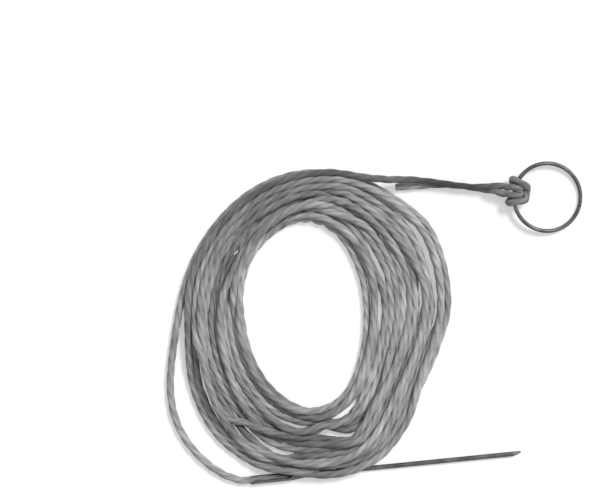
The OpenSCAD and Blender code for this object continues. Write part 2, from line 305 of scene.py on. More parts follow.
def even(path, step):
    """The path's places at equal distances along it, about one step apart."""
    s = along(path)
    at = np.linspace(0.0, s[-1], max(2, int(round(s[-1] / step)) + 1))
    return np.stack([np.interp(at, s, path[:, k]) for k in range(3)], -1)


def smooth_curve(points, step):
    """A cubic B-spline through evenly spread points: each place is the weighted mean of four
    neighbours, with the usual cubic weights, then the places are spread evenly again."""
    p = np.concatenate([2 * points[:1] - points[1:2], points, 2 * points[-1:] - points[-2:-1]])
    n = len(points) - 1
    spacing = np.linalg.norm(np.diff(points, axis=0), axis=1).mean()
    per = max(2, int(math.ceil(spacing / step)) * 2)
    t = np.linspace(0, n, n * per + 1)
    i = np.minimum(t.astype(int), n - 1)
    u = (t - i)[:, None]
    weights = [(1 - u) ** 3, 3 * u**3 - 6 * u**2 + 4, -3 * u**3 + 3 * u**2 + 3 * u + 1, u**3]
    curve = sum(w * p[i + k] for k, w in enumerate(weights)) / 6
    return even(curve, step)


def ease(t):
    """Soft step from 0 to 1: three times the square less twice the cube."""
    c = np.clip(t, 0, 1)
    return c * c * (3 - 2 * c)


def soft_step(x, start, length):
    """Soft step from 0 at its start to 1 a length further on."""
    return ease((x - start) / length)


def unit(vectors):
    """The vectors with each divided by its own length."""
    return vectors / np.linalg.norm(vectors, axis=-1, keepdims=True)


def angle_off(degrees, middle):
    """How far the angles lie from a middle one, from -180 to 180."""
    return (degrees - middle + 180) % 360 - 180


def egg(curve, degrees):
    """Points of an ellipse whose width grows with the sine of the angle by its egg share,
    turned about its middle."""
    (mx, my), (hx, hy), share, turn = curve
    a = np.radians(degrees - turn)
    x = hx * np.cos(a) * (1 + share * np.sin(a))
    y = hy * np.sin(a)
    c, s = math.cos(math.radians(turn)), math.sin(math.radians(turn))
    return np.stack([mx + x * c - y * s, my + x * s + y * c], -1)


def moved_out(points, degrees, shifts):
    """Points moved away from the coil's middle by a length read from a round table."""
    around = np.linspace(0, 360, len(shifts) + 1)
    by = np.interp(degrees % 360, around, (*shifts, shifts[0]))
    return points + unit(points - COIL_MID) * by[:, None]


def swelling(degrees, size, middle, spread):
    """Soft outward swelling round one angle, as a vector that points the way of that angle:
    the square of a cosine that falls to nothing at the spread."""
    off = angle_off(degrees, middle)
    height = np.where(np.abs(off) < spread, size * np.cos(np.pi / 2 * off / spread) ** 2, 0)
    way = math.radians(middle)
    return height[:, None] * np.array([math.cos(way), math.sin(way)])


def straying(wind, size):
    """Slow sideways drift of the passes: a sum of sines of the winding angle whose waves fall
    out of step from one turn to the next."""
    rng = np.random.default_rng(STRAY_SEED)
    waves = np.array(STRAY_WAVES)
    strength = rng.normal(size=len(waves))
    phase = rng.uniform(0, 2 * math.pi, len(waves))
    drift = (strength * np.sin(np.radians(wind)[:, None] * waves + phase)).sum(1)
    return size * drift / math.sqrt(len(waves) / 2)


def wound_path(cord_d, stray):
    """The coil before it settles, in millimetres: at each winding angle a point between the
    hole's edge and the outer edge, going evenly from outside to inside and back out, drifted
    sideways, and lifted by one diameter after the turn back. Where the band is too narrow
    for its passes, every second one rides over its neighbours by what they lack in width."""
    # One place for each degree of winding.
    wind = np.arange(0.0, WIND_IN + WIND_OUT, 1.0)
    angle = START_ANGLE - wind
    climb = ease((wind - WIND_IN) / CLIMB_ANGLE + 0.5)
    dent = DENT_BELOW_SHARE * soft_step(wind, DENT_START, DENT_GROWTH) + (1 - DENT_BELOW_SHARE) * climb
    inner = moved_out(egg(HOLE_EDGE, angle), angle, HOLE_SHIFT)
    outer = moved_out(egg(OUTER_EDGE, angle), angle, OUTER_SHIFT) + swelling(angle, *BULGE)
    outer += swelling(angle, *FAR_BULGE) + swelling(angle, *SAG) * climb[:, None]
    outer += swelling(angle, *DENT) * dent[:, None]
    share = np.where(wind < WIND_IN, 1 - wind / WIND_IN, (wind - WIND_IN) / WIND_OUT)
    width = np.linalg.norm(outer - inner, axis=1)
    drift = straying(wind, stray) * np.sqrt(np.clip(4 * share * (1 - share), 0, 1))
    share = np.clip(share + drift / width, 0.0, 1.0)[:, None]
    # A pass that rides has 1, one that is ridden over has 0, and they swap through 0.5.
    turns = (wind - START_ANGLE) / 360
    part = turns - np.floor(turns)
    soft = np.clip(0.5 + 0.5 * np.minimum(part, 1 - part) * 360 / SWAP_ANGLE, 0.5, 1)
    rides = np.where(np.floor(turns) % 2 == 0, soft, 1 - soft)
    lacking = np.sqrt(np.clip(cord_d**2 - (width / PASSES) ** 2, 0, None))
    lift = cord_d / 2 + climb * (cord_d + lacking) + rides * lacking
    return np.column_stack([inner * (1 - share) + outer * share, lift])


def near_pairs(p, reach, skip):
    """Pairs of points closer than reach and more than skip apart along the cord, found by
    sorting the points into square cells."""
    cell = np.floor(p[:, :2] / reach).astype(int)
    cell -= cell.min(0)
    wide = cell[:, 1].max() + 3
    key = cell[:, 0] * wide + cell[:, 1]
    order = np.argsort(key, kind="stable")
    ranked = key[order]
    first, second = [], []
    for shift in [dx * wide + dy for dx in (-1, 0, 1) for dy in (-1, 0, 1)]:
        low = np.searchsorted(ranked, key + shift, "left")
        count = np.searchsorted(ranked, key + shift, "right") - low
        within = np.arange(count.sum()) - np.repeat(np.cumsum(count) - count, count)
        i = np.repeat(np.arange(len(p)), count)
        j = order[np.repeat(low, count) + within]
        keep = j > i + skip
        i, j = i[keep], j[keep]
        close = np.linalg.norm(p[i] - p[j], axis=1) < reach
        first.append(i[close])
        second.append(j[close])
    return np.concatenate(first), np.concatenate(second)


def measure_parting(p, line):
    """For each point: share of the way along the line, signed distance to its left, and the
    line's left direction there."""
    seg = np.diff(line, axis=0)
    length = np.linalg.norm(seg, axis=1)
    before = np.concatenate([[0.0], np.cumsum(length)])
    rel = p[:, None, :2] - line[None, :-1]
    t = np.clip((rel * seg).sum(2) / length**2, 0, 1)
    off = rel - t[..., None] * seg
    k = np.linalg.norm(off, axis=2).argmin(1)
    row = np.arange(len(p))
    left = np.stack([-seg[:, 1], seg[:, 0]], -1)[k] / length[k, None]
    distance = np.linalg.norm(off[row, k], axis=1)
    signed = np.where((off[row, k] * left).sum(1) < 0, -distance, distance)
    return (before[k] + t[row, k] * length[k]) / before[-1], signed, left


def parting_sides(p, cord_d):
    """Each parting's line and half width, and the side to which each point gives way: 1 for
    left, -1 for right, and 0 where it lies too far off. A pass goes as a whole to the side
    where it lies on average."""
    sides = []
    for line, half, above in PARTINGS:
        line = np.array(line, float)
        at, signed, _ = measure_parting(p, line)
        near = np.abs(signed) < half + cord_d * PARTING_DIAMETERS
        close = near & (at > 0) & (at < 1) & (p[:, 2] > above)
        run = np.cumsum(np.concatenate([[0], np.diff(close.astype(int)) != 0]))
        mean = np.bincount(run, signed * close) / np.maximum(np.bincount(run, close), 1)
        sides.append((line, half, np.where(close, np.where(mean[run] < 0, -1.0, 1.0), 0.0)))
    return sides


def even_bends(p, free):
    """Bends made more even, in place: what a point bows out more than the mean of points on
    either side is taken back in part, and then a little of its bow from its neighbours."""
    r = BEND_POINTS
    bow = (p[: -2 * r] + p[2 * r :]) / 2 - p[r:-r]
    uneven = bow[r:-r] - (bow[: -2 * r] + bow[2 * r :]) / 2
    p[2 * r : -2 * r] += BEND_SHARE * uneven * free[2 * r : -2 * r]
    p[1:-1] += NEIGHBOUR_SHARE * ((p[:-2] + p[2:]) / 2 - p[1:-1]) * free[1:-1]


def push_apart(p, i, j, cord_d):
    """The mean push on each point from the pairs that are closer than one diameter: half of
    what they lack, away from each other."""
    n = len(p)
    gap = p[i] - p[j]
    apart = np.linalg.norm(gap, axis=1) + TINY
    hit = apart < cord_d
    a, b = i[hit], j[hit]
    push = gap[hit] / apart[hit, None] * (cord_d - apart[hit, None]) / 2
    count = np.bincount(a, minlength=n) + np.bincount(b, minlength=n)
    total = [np.bincount(a, push[:, k], n) - np.bincount(b, push[:, k], n) for k in range(3)]
    return np.stack(total, -1) / np.maximum(count, 1)[:, None]


def open_parting(p, line, half, side, cord_d):
    """The push on each point, level with the floor, that opens a parting: what it lacks from
    half the opening, which narrows to both ends of the line as a circle does."""
    at, signed, left = measure_parting(p, line)
    want = (half + cord_d / 2) * np.sqrt(np.clip(1 - (2 * at - 1) ** 2, 0, 1))
    lacking = np.where(side != 0, np.clip(want - signed * side, 0, 2 * want), 0)
    return left * (side * lacking * PARTING_SHARE)[:, None]


def restore_lengths(p, rest, free):
    """Distances along the cord restored, in place: each link, every second one at a time,
    moves its two ends by half of what it lacks."""
    for start in (0, 1, 0, 1):
        a = np.arange(start, len(rest), 2)
        link = p[a + 1] - p[a]
        length = np.linalg.norm(link, axis=1)
        fix = link * ((length - rest[a]) / length / 2)[:, None]
        p[a] += fix * free[a]
        p[a + 1] -= fix * free[a + 1]


def off_needle(p, cord_d):
    """Where the points go to lie clear of the needle: out from its axis, square to it, until
    a cord there only touches it."""
    x = p[:, 0] - MOUTH_X
    r = np.interp(x, *NEEDLE_PROFILE)
    off = p[:, 1:] - np.stack([np.full(len(p), NEEDLE_Y), r], -1)
    distance = np.linalg.norm(off, axis=1)
    lacking = np.clip(r + cord_d / 2 + NEEDLE_GAP - distance, 0, None)
    lacking = np.where((x > 0) & (x < NEEDLE_L), lacking, 0)
    out = p.copy()
    out[:, 1:] += off / np.maximum(distance, TINY)[:, None] * lacking[:, None]
    return out


def settle(p, held, cord_d):
    """The cord laid under its own weight. Each round lowers it, draws it a little toward its
    first place, evens its bending, pushes apart what is closer than one diameter, restores
    the distances along it and keeps it off the floor, the needle and the partings."""
    p = p.copy()
    home = p[:, :2].copy()
    rest = np.linalg.norm(np.diff(p, axis=0), axis=1)
    free = np.where(held, 0.0, 1.0)[:, None]
    skip = int(math.ceil(ALONG_DIAMETERS * cord_d / SETTLE_STEP))
    sides = parting_sides(p, cord_d)
    for turn in range(SETTLE_ROUNDS):
        if turn % PAIR_ROUNDS == 0:
            i, j = near_pairs(p, cord_d * PAIR_DIAMETERS, skip)
        p[:, 2:] -= LOWERING * free
        p[:, :2] += (home - p[:, :2]) * HOMING_SHARE * free
        even_bends(p, free)
        p += push_apart(p, i, j, cord_d) * PUSH_SHARE * free
        for line, half, side in sides:
            p[:, :2] += open_parting(p, line, half, side, cord_d) * free
        restore_lengths(p, rest, free)
        p = np.where(held[:, None], p, off_needle(p, cord_d))
        p[:, 2] = np.where(held, p[:, 2], np.maximum(p[:, 2], FLOOR_Z))
    return p


def ring_place(r, u, up):
    """A point by its distance out from the ring's middle, its place along the wire where the
    hitch sits, and its height over the ring's plane, in millimetres."""
    c, s = math.cos(HITCH_AT), math.sin(HITCH_AT)
    level = r * math.cos(RING_TILT) - up * math.sin(RING_TILT)
    height = RING_Z + r * math.sin(RING_TILT) + up * math.cos(RING_TILT)
    return np.stack([RING_MID[0] + level * c - u * s, RING_MID[1] + level * s + u * c, height], -1)


def around_wire(angle, distance, u):
    """A point by its angle round the wire (0 faces the ring's middle, 90 is up), its distance
    from the wire's centre and its distance along the wire."""
    a = np.radians(angle)
    turn = u / RING_R
    r = RING_R - distance * np.cos(a)
    return ring_place(r * np.cos(turn), r * np.sin(turn), distance * np.sin(a))


def leg_place(u, back):
    """A point of one leg of the loop, so far back from the hitch. The farther from where they
    start, the closer the legs lie to each other."""
    u = u - np.sign(u) * LEG_CLOSING * abs(back)
    return ring_place(RING_R + WRAP_R + LEG_START + back, u, 0.0)


def hitch_line():
    """The cord's way through the hitch, in metres: from the upper leg twice round the wire,
    across inside the ring, twice round again and out to the lower leg. Between the given
    places it is a smooth curve."""
    spots = np.array(HITCH_HALF, float)
    distance = WRAP_R + (CROSS_R - WRAP_R) * spots[:, 1]
    u = INNER_U + (OUTER_U - INNER_U) * spots[:, 2]
    half = np.column_stack([spots[:, 0], distance, u])
    both = np.concatenate([half * [1, 1, -1], [(CROSS_ANGLE, CROSS_R, 0)], half[::-1]])
    wraps = around_wire(both[:, 0], both[:, 1], both[:, 2])
    upper, lower = ([leg_place(side * (LEG_U - inward), back) + [0, 0, rise]
                     for inward, back, rise in LEG_ENTRY] for side in (-1, 1))
    points = np.concatenate([upper, wraps, lower[::-1]])
    return smooth_curve(even(points, HITCH_SPACING) * MM, HITCH_STEP * MM)


def lay_cord(look):
    """The two settled lines, in metres: the run from the needle through the coil to the
    loop's upper leg, and the tail from the lower leg to the cut end."""
    d = look.diameter / MM
    upper = np.array([leg_place(-LEG_U, LEG_FAR), leg_place(-LEG_U, LEG_NEAR)])
    lower = np.array([leg_place(LEG_U, LEG_NEAR), leg_place(LEG_U, LEG_FAR)])
    run = even(np.concatenate([NEEDLE_ROUTE, wound_path(d, look.drift), RING_ROUTE, upper]), SETTLE_STEP)
    tail = even(np.concatenate([lower, TAIL_ROUTE]), SETTLE_STEP)
    count = len(run)
    held = np.ones(count + len(tail), bool)
    held[HELD_AT_NEEDLE : count - HELD_AT_HITCH] = False
    settled = settle(np.concatenate([run, tail]), held, d * look.squeeze) * MM
    return [smooth_curve(part, look.mesh_step) for part in (settled[:count], settled[count:])]


def level_frames(path):
    """Direction, side and up at each point of a path that lies nearly flat. The side is level."""
    heading = unit(np.gradient(path, axis=0))
    side = unit(np.cross(heading, [0.0, 0.0, 1.0]))
    return heading, side, np.cross(side, heading)


def carried_frames(path, first_side):
    """Frames of a path that may climb: the first side is carried from point to point, each
    time made square to the heading there, so the cord isn't twisted by its bends."""
    heading = unit(np.gradient(path, axis=0))
    side = np.empty_like(heading)
    last = first_side
    for i, h in enumerate(heading):
        last = unit(last - h * (last @ h))
        side[i] = last
    return heading, side, np.cross(side, heading)


def share_across(p):
    """Share of the way from the hole's edge to the outer edge at each point, worked out from
    how far it lies out on each of the two curves."""
    level = []
    for (mx, my), (hx, hy), _, turn in (HOLE_EDGE, OUTER_EDGE):
        c, s = math.cos(math.radians(turn)), math.sin(math.radians(turn))
        x, y = p[:, 0] - mx, p[:, 1] - my
        level.append(1 / np.hypot((x * c + y * s) / hx, (y * c - x * s) / hy))
    return (1 - level[0]) / (level[1] - level[0])


def shade_along(p, s, ring_end, hitch_end):
    """How pale the cord is at each place: painted shade in zones of the coil, slow random
    changes along the cord, so that passes side by side differ, and the darker ends, with a
    painted shade in the needle's socket, and darker at the ring."""
    rng = np.random.default_rng(SHADE_SEED)
    shade = np.ones(len(p))
    angle = np.degrees(np.arctan2(p[:, 1] - COIL_MID[1], p[:, 0] - COIL_MID[0]))
    across = share_across(p)
    # Painted shade: each zone darkens the cord where the coil lies in shade.
    for middle, spread, at, wide, dark in PAINTED_SHADE_ZONES:
        nearness = np.exp(-((angle_off(angle, middle) / spread) ** 2) - ((across - at) / wide) ** 2)
        shade *= 1 - (1 - dark) * nearness
    for step, size in SHADE_SPOTS:
        spots = rng.normal(size=int(s[-1] / step) + 2)
        shade *= 1 + size * np.interp(s / step, np.arange(len(spots)), spots)
    shade = np.clip(shade, *SHADE_LIMITS)
    # The needle's table paints the socket's shade onto the cord.
    for start, table in ((ring_end, HITCH_SHADES), (hitch_end, TAIL_SHADE_SHARES), (0.0, SOCKET_SHADOW_AND_LEAD_SHADES)):
        shade *= np.interp(s - start, *np.array(table, float).T)
    return shade


def whole_cord(line, knot, back, look):
    """The cord from the needle to the cut end as one run: the settled line, the knot and the
    way back, with the thickness and shade of each place."""
    path = np.concatenate([line, knot[1:], back[1:]])
    s = along(path)
    ring_end = len(line) - 1
    knot_end = ring_end + len(knot) - 1
    lying = level_frames(path[: ring_end + 2])
    climbing = carried_frames(path[ring_end - 1 :], lying[1][ring_end - 1])
    frames = [np.concatenate([a[:ring_end], b[1:]]) for a, b in zip(lying, climbing)]
    before, past = (s - s[ring_end]) / MM, (s - s[knot_end]) / MM
    drawn, slack = soft_step(before, *TIGHT_BEFORE), soft_step(past, *SLACK_PAST)
    tight = drawn - slack + soft_step(s / MM, *SOCKET_GRIP)
    neck = drawn - soft_step(before, *NECK_ENDS) + soft_step(past, *NECK_PAST) - slack
    thick = look.diameter + (look.tight_diameter - look.diameter) * tight
    thick += (look.neck_diameter - look.tight_diameter) * neck
    shade = shade_along(path / MM, s / MM, s[ring_end] / MM, s[knot_end] / MM)
    return Cord(path, *frames, thick, shade, s), ring_end, knot_end


def strand_outline():
    """Radius of the strands side by side, as a share of the whole cord's, at each angle from
    one groove: the far edge of the nearest strand's circle."""
    a = 2 * math.pi * np.arange(CORD_SIDES) / CORD_SIDES
    off = a % (2 * math.pi / STRANDS) - math.pi / STRANDS
    out = 1 - STRAND_SHARE
    return a, out * np.cos(off) + np.sqrt(STRAND_SHARE**2 - (out * np.sin(off)) ** 2)


def twist(s, lay):
    """Turn of the strands at a distance along the cord: once in each lay, a little uneven."""
    turn = 2 * math.pi * s / lay
    for size, waves in TURN_WAVES:
        turn += size * np.sin(s * waves)
    return turn


def twisted_cord(name, cord, first, last, lay):
    """Mesh of a stretch of twisted cord: the outline of three strands carried along the path
    and turned once in each lay, so that every mesh line follows one strand. Where the cord
    goes on, one narrower row more reaches into the next stretch; its own ends are blunt."""
    start, stop = max(first - 1, 0), min(last + 2, len(cord.s))
    c = Cord(*(values[start:stop] for values in cord))
    a, shape = strand_outline()
    quick, slow = PULSE_WAVES
    pulse = 1 + PULSE_SHARE * np.sin(c.s * quick) * np.sin(c.s * slow + PULSE_SHIFT)
    theta = a[None, :] + twist(c.s, lay)[:, None]
    around = np.cos(theta)[..., None] * c.side[:, None] + np.sin(theta)[..., None] * c.up[:, None]
    rings = (c.thick / 2 * pulse)[:, None, None] * shape[None, :, None] * around
    tube = c.path[:, None] + rings
    caps = {0: tube[:0], -1: tube[:0]}
    for i, blunt, out in ((0, first == 0, -1), (-1, last == len(cord.s) - 1, 1)):
        if blunt:
            caps[i] = np.stack([c.path[i] + rings[i] * share + c.heading[i] * out * c.thick[i] / 2 * reach
                                for share, reach in BLUNT_SHARES])
        else:
            tube[i] = c.path[i] + rings[i] * JOINED_SHARE
    return grid_mesh(name, np.concatenate([caps[0][::-1], tube, caps[-1]]), c.s / lay, c.shade)


def grid_mesh(name, grid, lengthwise, shade):
    """A closed tube from rows of points: four-sided faces between the rows and a fan on a
    middle point at each end. Its UV map holds the share of the way round, from one groove,
    and the distance along in lays. Its points carry the cord's shade there."""
    n, m = grid.shape[:2]
    verts = np.concatenate([grid.reshape(-1, 3), grid[0].mean(0)[None], grid[-1].mean(0)[None]])
    i, j = np.meshgrid(np.arange(n - 1), np.arange(m), indexing="ij")
    k = (j + 1) % m
    quads = np.stack([i * m + j, i * m + k, (i + 1) * m + k, (i + 1) * m + j], -1).reshape(-1, 4)
    c = np.arange(m)
    d = (c + 1) % m
    low = np.stack([np.full(m, n * m), d, c], -1)
    high = np.stack([np.full(m, n * m + 1), (n - 1) * m + c, (n - 1) * m + d], -1)
    loops = np.concatenate([quads.ravel(), low.ravel(), high.ravel()])
    counts = np.concatenate([np.full(len(quads), 4), np.full(2 * m, 3)])
    starts = np.concatenate([[0], np.cumsum(counts)[:-1]])
    mesh = bpy.data.meshes.new(name)
    mesh.vertices.add(len(verts))
    mesh.vertices.foreach_set("co", verts.ravel().astype(np.float32))
    mesh.loops.add(len(loops))
    mesh.loops.foreach_set("vertex_index", loops.astype(np.int32))
    mesh.polygons.add(len(counts))
    mesh.polygons.foreach_set("loop_start", starts.astype(np.int32))
    mesh.update(calc_edges=True)

    row = np.linspace(0, 1, n)
    lays = np.interp(row, np.linspace(0, 1, len(lengthwise)), lengthwise)
    tone = np.interp(row, np.linspace(0, 1, len(shade)), shade)
    tone = np.concatenate([np.repeat(tone, m), tone[:1], tone[-1:]])
    mesh.attributes.new("shade", "FLOAT", "POINT").data.foreach_set("value", tone.astype(np.float32))

    low_fan = np.stack([c + 0.5, c + 1, c], -1)
    high_fan = np.stack([c + 0.5, c, c + 1], -1)
    round_quads = np.stack([j, j + 1, j + 1, j], -1)
    u = np.concatenate([round_quads.ravel(), low_fan.ravel(), high_fan.ravel()]) / m
    v = np.stack([lays[i], lays[i], lays[i + 1], lays[i + 1]], -1).ravel()
    v = np.concatenate([v, np.full(3 * m, lays[0]), np.full(3 * m, lays[-1])])
    uv = mesh.uv_layers.new(name="UVMap")
    uv.data.foreach_set("uv", np.stack([u, v], -1).ravel().astype(np.float32))

    smooth = np.concatenate([np.ones(len(quads)), np.zeros(2 * m)])
    mesh.polygons.foreach_set("use_smooth", smooth.astype(bool))
    mesh.validate()
    obj = bpy.data.objects.new(name, mesh)
    bpy.context.scene.collection.objects.link(obj)
    return obj


def node_makers(tree):
    """Two short ways to add to an emptied node tree: any node, with its inputs set or linked,
    and a Math node, which gives its result."""
    tree.nodes.clear()

    def add(kind, inputs=None, **props):
        node = tree.nodes.new("ShaderNode" + kind)
        for key, value in props.items():
            setattr(node, key, value)
        for key, value in (inputs or {}).items():
            if isinstance(value, bpy.types.NodeSocket):
                tree.links.new(value, node.inputs[key])
            else:
                node.inputs[key].default_value = value
        return node

    def math_node(operation, a, b=0.0, c=0.0):
        return add("Math", {0: a, 1: b, 2: c}, operation=operation).outputs[0]

    return add, math_node


def new_material(name):
    """An empty node material and the two ways to add nodes to it."""
    mat = bpy.data.materials.new(name)
    mat.use_nodes = True
    return mat, *node_makers(mat.node_tree)


def opaque(colour):
    """A colour property as the four numbers that a colour socket takes."""
    return (*colour, 1.0)


def colour_between(add, value, first, second, low, high):
    """Colour that goes from the first to the second as the value goes from low to high."""
    scaled = add("MapRange", {"Value": value, "From Min": low, "From Max": high}).outputs[0]
    return add("Mix", {0: scaled, 6: first, 7: second}, data_type="RGBA").outputs[2]


def cord_material(look):
    """Dark twisted cord. Single yarns run along it, the shade drifts from strand to strand
    and place to place, and the grooves between the strands get a painted shade."""
    mat, add, m = new_material("dark_twisted_cord")
    uv = add("SeparateXYZ", {0: add("UVMap", uv_map="UVMap").outputs[0]})
    u, v = uv.outputs[0], uv.outputs[1]

    def stretched(place, across, along, **noise):
        """Noise over a place across the cord and the lays along it, each at its own scale."""
        at = add("CombineXYZ", {0: m("MULTIPLY", place, across), 1: m("MULTIPLY", v, along)})
        return add("TexNoise", {"Vector": at.outputs[0], **noise}).outputs["Fac"]

    # The groove shade mix goes from 0 in the grooves to 1 on top of each strand, as one less the
    # cosine does, and paints shade into the grooves. The yarn is a count of yarns round the cord,
    # and stands as high as its sine.
    groove_shade_mix = m("MULTIPLY_ADD", m("COSINE", m("MULTIPLY", u, STRANDS * 2 * math.pi)), -0.5, 0.5)
    yarn = m("MULTIPLY", m("MULTIPLY_ADD", v, look.yarn_slant, u), look.yarns)
    ridge = m("ABSOLUTE", m("SINE", m("MULTIPLY", yarn, math.pi)))
    strand = m("FLOOR", m("MULTIPLY", u, STRANDS))
    fibres = stretched(yarn, across=3.4, along=16.0, Scale=1.0, Detail=4.0, Roughness=0.65)
    streaks = stretched(yarn, across=0.35, along=2.6, Scale=1.0, Detail=2.0)
    strands = stretched(strand, across=1.0, along=1.9, Scale=1.3, Detail=1.0)
    place = add("TexCoord").outputs["Object"]
    patches = add("TexNoise", {"Vector": place, "Scale": 130.0, "Detail": 2.0}).outputs["Fac"]
    # The mottle is the sum of the noises, each with its own strength.
    mottle = 0.0
    for noise, strength in ((fibres, 0.5), (streaks, 0.9), (strands, 1.1), (patches, 0.8)):
        mottle = m("MULTIPLY_ADD", noise, strength, mottle)
    limits = {"From Min": 1.15, "From Max": 2.15, "To Min": 0.55, "To Max": 1.37}
    level = add("MapRange", {"Value": mottle, **limits}).outputs[0]
    level = m("MULTIPLY", level, add("Attribute", attribute_name="shade").outputs["Fac"])
    grey = add("CombineXYZ", {0: level, 1: level, 2: level}).outputs[0]
    # Painted shade: the grooves take the darker colour.
    groove, top = opaque(look.groove_shade_colour), opaque(look.colour_pale)
    base = colour_between(add, groove_shade_mix, groove, top, low=0.1, high=0.9)
    colour = add("VectorMath", {0: base, 1: grey}, operation="MULTIPLY").outputs[0]
    height = m("ADD", m("MULTIPLY", ridge, YARN_RELIEF), m("MULTIPLY", fibres, FIBRE_RELIEF))
    shader = add("BsdfPrincipled", {
        "Base Color": colour,
        "Roughness": add("MapRange", {"Value": fibres, "To Min": 0.6, "To Max": 0.85}).outputs[0],
        "Normal": add("Bump", {"Height": height, "Strength": 0.6, "Distance": 0.15 * MM}).outputs[0],
        "Specular IOR Level": 0.35,
        "Sheen Weight": 0.12,
        "Sheen Roughness": 0.5,
    })
    add("OutputMaterial", {"Surface": shader.outputs[0]})
    return mat


def steel_material(name, look, grain):
    """Dull nickel-plated steel: fine drawn lines along the grain, a slow change of shade,
    and small dull spots of wear."""
    mat, add, m = new_material(name)
    place = add("TexCoord").outputs["Object"]
    lined = add("Mapping", {"Vector": place, "Scale": grain}).outputs[0]

    def noise(at, **settings):
        return add("TexNoise", {"Vector": at, **settings}).outputs["Fac"]

    lines = noise(lined, Scale=1.0, Detail=4.0, Roughness=0.65)
    cloud = noise(place, Scale=160.0, Detail=3.0)
    spots = noise(place, Scale=900.0, Detail=2.0)
    worn = add("MapRange", {"Value": spots, "From Min": 0.62, "From Max": 0.75}).outputs[0]
    dark, pale, dull = opaque(look.steel_dark), opaque(look.steel_pale), opaque(look.steel_dull)
    plating = colour_between(add, cloud, dark, pale, low=0.35, high=0.65)
    rough = m("MULTIPLY_ADD", worn, WEAR_ROUGHNESS, look.roughness)
    rough = m("ADD", m("MULTIPLY", lines, LINES_ROUGHNESS), rough)
    shader = add("BsdfPrincipled", {
        "Base Color": colour_between(add, worn, plating, dull, low=0.0, high=1.0),
        "Roughness": rough,
        "Normal": add("Bump", {"Height": lines, "Strength": 0.15, "Distance": 0.04 * MM}).outputs[0],
        "Metallic": 1.0,
    })
    add("OutputMaterial", {"Surface": shader.outputs[0]})
    return mat


def seen(add, m):
    """1 for rays that the camera sees, straight or mirrored, and 0 for those that only carry
    light."""
    rays = add("LightPath").outputs
    return m("MAXIMUM", rays["Is Camera Ray"], rays["Is Glossy Ray"])


class CordLook(PropertyGroup):
    diameter: FloatProperty(
        name="Diameter", description="Cord where it lies slack", default=3.0 * MM, unit="LENGTH")
    tight_diameter: FloatProperty(
        name="Tight diameter", description="Cord drawn tight at the ring", default=2.8 * MM,
        unit="LENGTH")
    neck_diameter: FloatProperty(
        name="Neck diameter", description="Cord drawn tightest, before the loop", default=2.25 * MM,
        unit="LENGTH")
    lay: FloatProperty(
        name="Lay", description="Length in which a strand goes once round", default=20.0 * MM,
        unit="LENGTH")
    mesh_step: FloatProperty(
        name="Mesh step", description="Distance between rows of the mesh", default=0.55 * MM,
        unit="LENGTH")
    drift: FloatProperty(
        name="Drift", description="How far passes stray sideways, in millimetres", default=1.7)
    squeeze: FloatProperty(
        name="Squeeze", description="Distance of touching passes, in diameters", default=0.93,
        subtype="FACTOR")
    yarns: IntProperty(name="Yarns", description="Yarns that show round the cord", default=33)
    yarn_slant: FloatProperty(
        name="Yarn slant", description="Turns of the yarns against the strands in each lay", default=0.8)
    # Painted shade between the strands.
    groove_shade_colour: FloatVectorProperty(
        name="Groove colour", description="Between the strands", default=(0.35, 0.35, 0.35),
        subtype="COLOR")
    colour_pale: FloatVectorProperty(
        name="Crown colour", description="On top of the strands", default=(0.44, 0.44, 0.435),
        subtype="COLOR")


class SteelLook(PropertyGroup):
    steel_dark: FloatVectorProperty(
        name="Dark steel", description="Darker cloud of the plating", default=(0.07, 0.07, 0.07),
        subtype="COLOR")
    steel_pale: FloatVectorProperty(
        name="Pale steel", description="Paler cloud of the plating", default=(0.15, 0.15, 0.147),
        subtype="COLOR")
    steel_dull: FloatVectorProperty(
        name="Worn steel", description="Small worn spots", default=(0.05, 0.05, 0.05), subtype="COLOR")
    roughness: FloatProperty(
        name="Roughness", description="Of the plating between its drawn lines", default=0.36,
        subtype="FACTOR")


class StageLook(PropertyGroup):
    floor: FloatVectorProperty(
        name="Floor", description="Colour of the floor", default=(0.68, 0.68, 0.68), subtype="COLOR")
    glow: FloatProperty(
        name="Floor glow", description="How much paler the floor is seen than lit", default=0.4)
    sky: FloatProperty(
        name="Sky", description="Strength of the even light all round", default=0.43)
    key: FloatProperty(
        name="Key light", description="Strength of the sun lamp", default=2.3)
    key_turn: FloatVectorProperty(
        name="Key turn", description="Turn of the sun lamp from straight down",
        default=(math.radians(-24), math.radians(34), 0.0), subtype="EULER")
    key_width: FloatProperty(
        name="Key width", description="Width of the sun lamp, which softens the shadows",
        default=math.radians(18), subtype="ANGLE")


class STRINGER_OT_camera(Operator):
    """Puts the camera straight above, turned and framed as in the photograph."""

    bl_idname = "stringer.camera"
    bl_label = "Camera"

    def execute(self, context):
        cam = bpy.data.cameras.new("camera")
        cam.sensor_width = SENSOR_WIDTH
        cam.lens = SENSOR_WIDTH * VIEW_HEIGHT / VIEW_WIDTH
        cam.clip_start = 0.01
        cam.clip_end = 20.0
        obj = bpy.data.objects.new("camera", cam)
        obj.location = (VIEW_MID[0] * MM, VIEW_MID[1] * MM, VIEW_HEIGHT)
        obj.rotation_euler = (0.0, 0.0, math.radians(VIEW_TURN))
        context.scene.collection.objects.link(obj)
        context.scene.camera = obj
        return {"FINISHED"}


